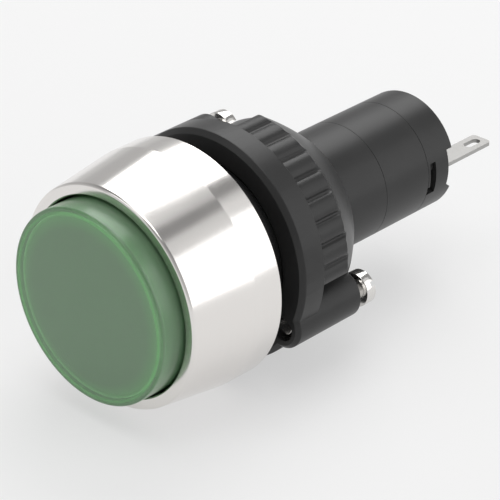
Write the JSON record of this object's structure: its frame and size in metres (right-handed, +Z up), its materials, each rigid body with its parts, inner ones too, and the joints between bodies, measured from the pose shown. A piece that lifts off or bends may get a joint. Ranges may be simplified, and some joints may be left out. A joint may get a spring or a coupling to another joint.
{
  "type": "panel pilot light",
  "caption": "Panel pilot light with a round green lens in a polished bezel, black body, fixing ring with clamp screws, bayonet lamp socket and solder tabs.",
  "frame": {"origin": "centre of the bezel's rear face, where it sits against the panel", "axes": "+Y along the lamp axis from the lens to the terminals, +Z up, +X along the row of terminals"},
  "size_m": [0.0295, 0.0629, 0.0294],
  "materials": {
    "polished_aluminium": "mirror polished",
    "black_nylon": "satin moulded",
    "seal_rubber": "matte",
    "white_abs": "gloss moulded",
    "green_acrylic": "polished, translucent",
    "opal_acrylic": "opal",
    "plated_steel": "nickel plated",
    "spring_steel": "drawn wire",
    "brass": "drawn",
    "plated_brass": "nickel plated",
    "tinned_brass": "matte tin plated",
    "laminate": "pressed paper laminate",
    "bulb_glass": "clear",
    "black_glass": "fused",
    "solder": "tin solder",
    "tungsten": "drawn wire"
  },
  "bodies": {
    "housing": {"bezel": "polished_aluminium", "front_housing": "black_nylon", "panel_gasket": "seal_rubber", "reflector": "white_abs", "lens_seal": "seal_rubber", "socket_body": "black_nylon", "bayonet_shell": "brass", "spring_seat": "laminate", "contact_spring": "spring_steel", "terminal_cap": "black_nylon", "terminal_centre": "tinned_brass", "terminal_shell": "tinned_brass"},
    "lens_cap": {"lens": "green_acrylic", "diffuser": "opal_acrylic"},
    "ring": {"fixing_ring": "black_nylon"},
    "upper_screw": {"clamp_screw_upper": "plated_steel"},
    "lower_screw": {"clamp_screw_lower": "plated_steel"},
    "lamp": {"lamp_cap": "plated_brass", "lamp_glass": "bulb_glass", "lamp_insulator": "black_glass", "lamp_tip": "solder", "lamp_stem": "bulb_glass", "lamp_filament": "tungsten"},
    "contact": {"contact_plunger": "brass"}
  },
  "joints": [
    {"name": "lens_removal", "type": "slide", "parent": "housing", "child": "lens_cap", "axis": [0, -1, 0], "range_m": [0, 0.012]},
    {"name": "ring_travel", "type": "slide", "parent": "housing", "child": "ring", "axis": [0, 1, 0], "range_m": [0, 0.036]},
    {"name": "upper_screw_turn", "type": "hinge", "parent": "ring", "child": "upper_screw", "pos_m": [-0.01107, 0, 0.00673], "axis": [0, 1, 0], "continuous": true},
    {"name": "lower_screw_turn", "type": "hinge", "parent": "ring", "child": "lower_screw", "pos_m": [0.01107, 0, -0.00673], "axis": [0, 1, 0], "continuous": true},
    {"name": "lamp_turn", "type": "hinge", "parent": "housing", "child": "lamp", "pos_m": [0, 0, 0], "axis": [0, -1, 0], "range_deg": [0, 28]},
    {"name": "contact_press", "type": "slide", "parent": "housing", "child": "contact", "axis": [0, 1, 0], "range_m": [0, 0.0006], "stiffness_N_per_m": 500, "springref_m": -0.0005, "deforming": ["contact_spring"]}
  ]
}
